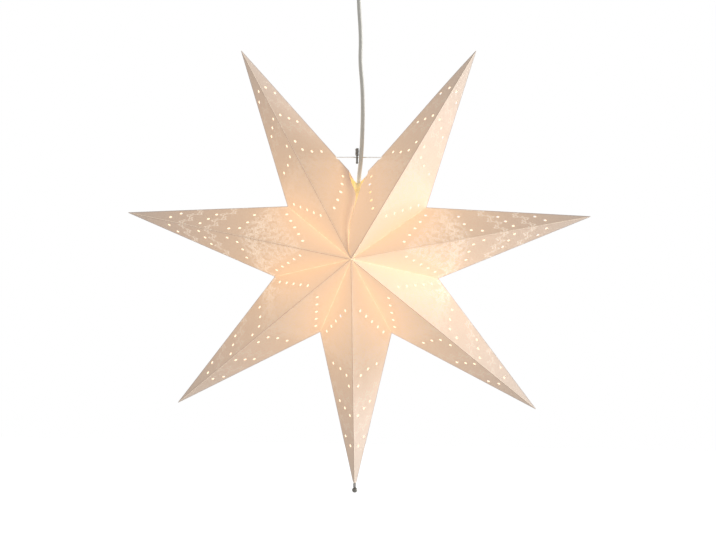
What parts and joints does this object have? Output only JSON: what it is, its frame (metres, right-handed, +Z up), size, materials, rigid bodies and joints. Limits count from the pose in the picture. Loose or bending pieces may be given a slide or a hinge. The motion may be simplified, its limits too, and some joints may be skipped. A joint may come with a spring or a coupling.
{
  "type": "folding star pendant",
  "caption": "Hanging seven-pointed star of folded, punched card around a small lamp, on a flex with a ceiling canopy; the star folds flat like a fan.",
  "frame": {"origin": "centre of the ceiling face of the canopy and its bracket", "axes": "+Z up into the ceiling, the star faces -Y, +X to the right of a viewer in front"},
  "size_m": [0.687, 0.2073, 0.841],
  "materials": {
    "card": "matt punched card",
    "steel": "bright drawn wire",
    "dark_steel": "blackened steel",
    "sleeve": "grey-white sleeve",
    "flex": "light grey-beige sheath",
    "core": "insulated cores",
    "white_plastic": "white moulded plastic",
    "ceramic": "glazed insulator",
    "brass": "plain brass",
    "zinc": "zinc-plated steel",
    "glass": "clear glass",
    "filament": "yellow phosphor"
  },
  "bodies": {
    "ceiling_fitting": {"ceiling_bracket": "zinc", "canopy_cup": "white_plastic", "side_screws": "zinc", "cord_grip": "white_plastic", "lock_nut": "white_plastic", "grip_nut": "white_plastic", "terminal_block": "white_plastic", "block_screws": "brass", "tail_cores": "core", "cord_tail": "flex"},
    "relief_sleeve": {"strain_relief": "white_plastic"},
    "lamp": {"flex_cord": "flex", "hanger_wire": "steel", "hanger_coil": "steel", "hanger_pin": "dark_steel", "holder_gland": "white_plastic", "holder_cap": "white_plastic", "holder_body": "white_plastic", "contact_carrier": "ceramic", "thread_shell": "brass", "centre_contact": "brass", "terminal_screws": "brass", "holder_cores": "core"},
    "bulb_tip": {"bulb_foot": "zinc"},
    "bulb": {"bulb_insulator": "ceramic", "bulb_base": "zinc", "bulb_glass": "glass", "bulb_stem": "glass", "bulb_filament": "filament"},
    "star_tip": {"tip_sleeve": "sleeve", "tip_ball": "dark_steel"},
    "card_1_front_a": {"point_1_front_a": "card"},
    "card_1_front_b": {"point_1_front_b": "card"},
    "card_1_back_a": {"point_1_back_a": "card"},
    "card_1_back_b": {"point_1_back_b": "card"},
    "card_2_front_a": {"point_2_front_a": "card"},
    "card_2_front_b": {"point_2_front_b": "card"},
    "card_2_back_a": {"point_2_back_a": "card"},
    "card_2_back_b": {"point_2_back_b": "card"},
    "card_3_front_a": {"point_3_front_a": "card"},
    "card_3_front_b": {"point_3_front_b": "card"},
    "card_3_back_a": {"point_3_back_a": "card"},
    "card_3_back_b": {"point_3_back_b": "card"},
    "card_4_front_a": {"point_4_front_a": "card"},
    "card_4_front_b": {"point_4_front_b": "card"},
    "card_4_back_a": {"point_4_back_a": "card"},
    "card_4_back_b": {"point_4_back_b": "card"},
    "card_5_front_a": {"point_5_front_a": "card"},
    "card_5_front_b": {"point_5_front_b": "card"},
    "card_5_back_a": {"point_5_back_a": "card"},
    "card_5_back_b": {"point_5_back_b": "card"},
    "card_6_front_a": {"point_6_front_a": "card"},
    "card_6_front_b": {"point_6_front_b": "card"},
    "card_6_back_a": {"point_6_back_a": "card"},
    "card_6_back_b": {"point_6_back_b": "card"},
    "card_7_front_a": {"point_7_front_a": "card"},
    "card_7_front_b": {"point_7_front_b": "card"},
    "card_7_back_a": {"point_7_back_a": "card"},
    "card_7_back_b": {"point_7_back_b": "card"}
  },
  "joints": [
    {"name": "cord_swing", "type": "hinge", "parent": "ceiling_fitting", "child": "relief_sleeve", "pos_m": [0, 0, -0.072], "axis": [0, 1, 0], "range_deg": [-8, 8]},
    {"name": "cord_twist", "type": "hinge", "parent": "relief_sleeve", "child": "lamp", "pos_m": [0, 0, -0.072], "axis": [0, 0, 1], "range_deg": [-180, 180], "stiffness_Nm_per_rad": 0.004},
    {"name": "bulb_lift", "type": "slide", "parent": "lamp", "child": "bulb_tip", "axis": [0, 0, -1], "range_m": [0, 0.024]},
    {"name": "bulb_turn", "type": "hinge", "parent": "bulb_tip", "child": "bulb", "pos_m": [0.0025, 0, -0.436], "axis": [0, 0, 1], "range_deg": [0, 3064.33]},
    {"name": "star_tilt", "type": "hinge", "parent": "lamp", "child": "star_tip", "pos_m": [0, 0, -0.34], "axis": [1, 0, 0], "range_deg": [-5, 5]},
    {"name": "star_fold", "type": "hinge", "parent": "star_tip", "child": "card_4_front_a", "pos_m": [0, 0, -0.836], "axis": [0, -0.2873, 0.9578], "range_deg": [0, 35.58]},
    {"name": "valley_3_4", "type": "hinge", "parent": "card_4_front_a", "child": "card_3_front_b", "pos_m": [0, -0.105, -0.486], "axis": [0.325, 0.6402, -0.6961], "range_deg": [0, 93.75]},
    {"name": "ridge_3", "type": "hinge", "parent": "card_3_front_b", "child": "card_3_front_a", "pos_m": [0, -0.105, -0.486], "axis": [-0.7344, -0.2873, 0.6149], "range_deg": [0, 71.15]},
    {"name": "valley_2_3", "type": "hinge", "parent": "card_3_front_a", "child": "card_2_front_b", "pos_m": [0, -0.105, -0.486], "axis": [0.7423, 0.6402, -0.1977], "range_deg": [0, 93.75]},
    {"name": "ridge_2", "type": "hinge", "parent": "card_2_front_b", "child": "card_2_front_a", "pos_m": [0, -0.105, -0.486], "axis": [-0.9429, -0.2873, -0.1682], "range_deg": [0, 71.15]},
    {"name": "valley_1_2", "type": "hinge", "parent": "card_2_front_a", "child": "card_1_front_b", "pos_m": [0, -0.105, -0.486], "axis": [0.6282, 0.6402, 0.4422], "range_deg": [0, 93.75]},
    {"name": "ridge_1", "type": "hinge", "parent": "card_1_front_b", "child": "card_1_front_a", "pos_m": [0, -0.105, -0.486], "axis": [-0.4764, -0.2873, -0.8309], "range_deg": [0, 71.15]},
    {"name": "ridge_4_b", "type": "hinge", "parent": "star_tip", "child": "card_4_front_b", "pos_m": [0, 0, -0.836], "axis": [0, 0.2873, -0.9578], "range_deg": [0, 35.58]},
    {"name": "valley_4_5", "type": "hinge", "parent": "card_4_front_b", "child": "card_5_front_a", "pos_m": [0, -0.105, -0.486], "axis": [0.325, -0.6402, 0.6961], "range_deg": [0, 93.75]},
    {"name": "ridge_5", "type": "hinge", "parent": "card_5_front_a", "child": "card_5_front_b", "pos_m": [0, -0.105, -0.486], "axis": [-0.7344, 0.2873, -0.6149], "range_deg": [0, 71.15]},
    {"name": "valley_5_6", "type": "hinge", "parent": "card_5_front_b", "child": "card_6_front_a", "pos_m": [0, -0.105, -0.486], "axis": [0.7423, -0.6402, 0.1977], "range_deg": [0, 93.75]},
    {"name": "ridge_6", "type": "hinge", "parent": "card_6_front_a", "child": "card_6_front_b", "pos_m": [0, -0.105, -0.486], "axis": [-0.9429, 0.2873, 0.1682], "range_deg": [0, 71.15]},
    {"name": "valley_6_7", "type": "hinge", "parent": "card_6_front_b", "child": "card_7_front_a", "pos_m": [0, -0.105, -0.486], "axis": [0.6282, -0.6402, -0.4422], "range_deg": [0, 93.75]},
    {"name": "ridge_7", "type": "hinge", "parent": "card_7_front_a", "child": "card_7_front_b", "pos_m": [0, -0.105, -0.486], "axis": [-0.4764, 0.2873, 0.8309], "range_deg": [0, 71.15]},
    {"name": "rim_1_a", "type": "hinge", "parent": "card_1_front_a", "child": "card_1_back_a", "pos_m": [0.17409, 0, -0.18237], "axis": [0.6764, 0, 0.7365], "range_deg": [0, 68.3]},
    {"name": "rim_1_b", "type": "hinge", "parent": "card_1_front_b", "child": "card_1_back_b", "pos_m": [0.17409, 0, -0.18237], "axis": [-0.2939, 0, -0.9558], "range_deg": [0, 68.3]},
    {"name": "rim_2_a", "type": "hinge", "parent": "card_2_front_a", "child": "card_2_back_a", "pos_m": [0.34456, 0, -0.42454], "axis": [0.999, 0, -0.0458], "range_deg": [0, 68.3]},
    {"name": "rim_2_b", "type": "hinge", "parent": "card_2_front_b", "child": "card_2_back_b", "pos_m": [0.34456, 0, -0.42454], "axis": [-0.9215, 0, -0.3883], "range_deg": [0, 68.3]},
    {"name": "rim_3_a", "type": "hinge", "parent": "card_3_front_a", "child": "card_3_back_a", "pos_m": [0.26834, 0, -0.71071], "axis": [0.6063, 0, -0.7953], "range_deg": [0, 68.3]},
    {"name": "rim_3_b", "type": "hinge", "parent": "card_3_front_b", "child": "card_3_back_b", "pos_m": [0.26834, 0, -0.71071], "axis": [-0.8894, 0, 0.4572], "range_deg": [0, 68.3]},
    {"name": "rim_4_a", "type": "hinge", "parent": "card_4_front_a", "child": "card_4_back_a", "pos_m": [0, 0, -0.836], "axis": [-0.2205, 0, -0.9754], "range_deg": [0, 68.3]},
    {"name": "rim_4_b", "type": "hinge", "parent": "card_4_front_b", "child": "card_4_back_b", "pos_m": [0, 0, -0.836], "axis": [-0.2205, 0, 0.9754], "range_deg": [0, 68.3]},
    {"name": "rim_5_a", "type": "hinge", "parent": "card_5_front_a", "child": "card_5_back_a", "pos_m": [-0.26834, 0, -0.71071], "axis": [-0.8894, 0, -0.4572], "range_deg": [0, 68.3]},
    {"name": "rim_5_b", "type": "hinge", "parent": "card_5_front_b", "child": "card_5_back_b", "pos_m": [-0.26834, 0, -0.71071], "axis": [0.6063, 0, 0.7953], "range_deg": [0, 68.3]},
    {"name": "rim_6_a", "type": "hinge", "parent": "card_6_front_a", "child": "card_6_back_a", "pos_m": [-0.34456, 0, -0.42454], "axis": [-0.9215, 0, 0.3883], "range_deg": [0, 68.3]},
    {"name": "rim_6_b", "type": "hinge", "parent": "card_6_front_b", "child": "card_6_back_b", "pos_m": [-0.34456, 0, -0.42454], "axis": [0.999, 0, 0.0458], "range_deg": [0, 68.3]},
    {"name": "rim_7_a", "type": "hinge", "parent": "card_7_front_a", "child": "card_7_back_a", "pos_m": [-0.17409, 0, -0.18237], "axis": [-0.2939, 0, 0.9558], "range_deg": [0, 68.3]},
    {"name": "rim_7_b", "type": "hinge", "parent": "card_7_front_b", "child": "card_7_back_b", "pos_m": [-0.17409, 0, -0.18237], "axis": [0.6764, 0, -0.7365], "range_deg": [0, 68.3]}
  ],
  "couplings": [
    {"joint": "bulb_turn", "follows": "bulb_lift", "rad_per_m": 2228.1},
    {"joint": "valley_3_4", "follows": "star_fold", "ratio": 2.6352},
    {"joint": "ridge_3", "follows": "star_fold", "ratio": 2},
    {"joint": "valley_2_3", "follows": "star_fold", "ratio": 2.6352},
    {"joint": "ridge_2", "follows": "star_fold", "ratio": 2},
    {"joint": "valley_1_2", "follows": "star_fold", "ratio": 2.6352},
    {"joint": "ridge_1", "follows": "star_fold", "ratio": 2},
    {"joint": "ridge_4_b", "follows": "star_fold", "ratio": 1},
    {"joint": "valley_4_5", "follows": "star_fold", "ratio": 2.6352},
    {"joint": "ridge_5", "follows": "star_fold", "ratio": 2},
    {"joint": "valley_5_6", "follows": "star_fold", "ratio": 2.6352},
    {"joint": "ridge_6", "follows": "star_fold", "ratio": 2},
    {"joint": "valley_6_7", "follows": "star_fold", "ratio": 2.6352},
    {"joint": "ridge_7", "follows": "star_fold", "ratio": 2},
    {"joint": "rim_1_a", "follows": "star_fold", "ratio": 1.9199},
    {"joint": "rim_1_b", "follows": "star_fold", "ratio": 1.9199},
    {"joint": "rim_2_a", "follows": "star_fold", "ratio": 1.9199},
    {"joint": "rim_2_b", "follows": "star_fold", "ratio": 1.9199},
    {"joint": "rim_3_a", "follows": "star_fold", "ratio": 1.9199},
    {"joint": "rim_3_b", "follows": "star_fold", "ratio": 1.9199},
    {"joint": "rim_4_a", "follows": "star_fold", "ratio": 1.9199},
    {"joint": "rim_4_b", "follows": "star_fold", "ratio": 1.9199},
    {"joint": "rim_5_a", "follows": "star_fold", "ratio": 1.9199},
    {"joint": "rim_5_b", "follows": "star_fold", "ratio": 1.9199},
    {"joint": "rim_6_a", "follows": "star_fold", "ratio": 1.9199},
    {"joint": "rim_6_b", "follows": "star_fold", "ratio": 1.9199},
    {"joint": "rim_7_a", "follows": "star_fold", "ratio": 1.9199},
    {"joint": "rim_7_b", "follows": "star_fold", "ratio": 1.9199}
  ]
}
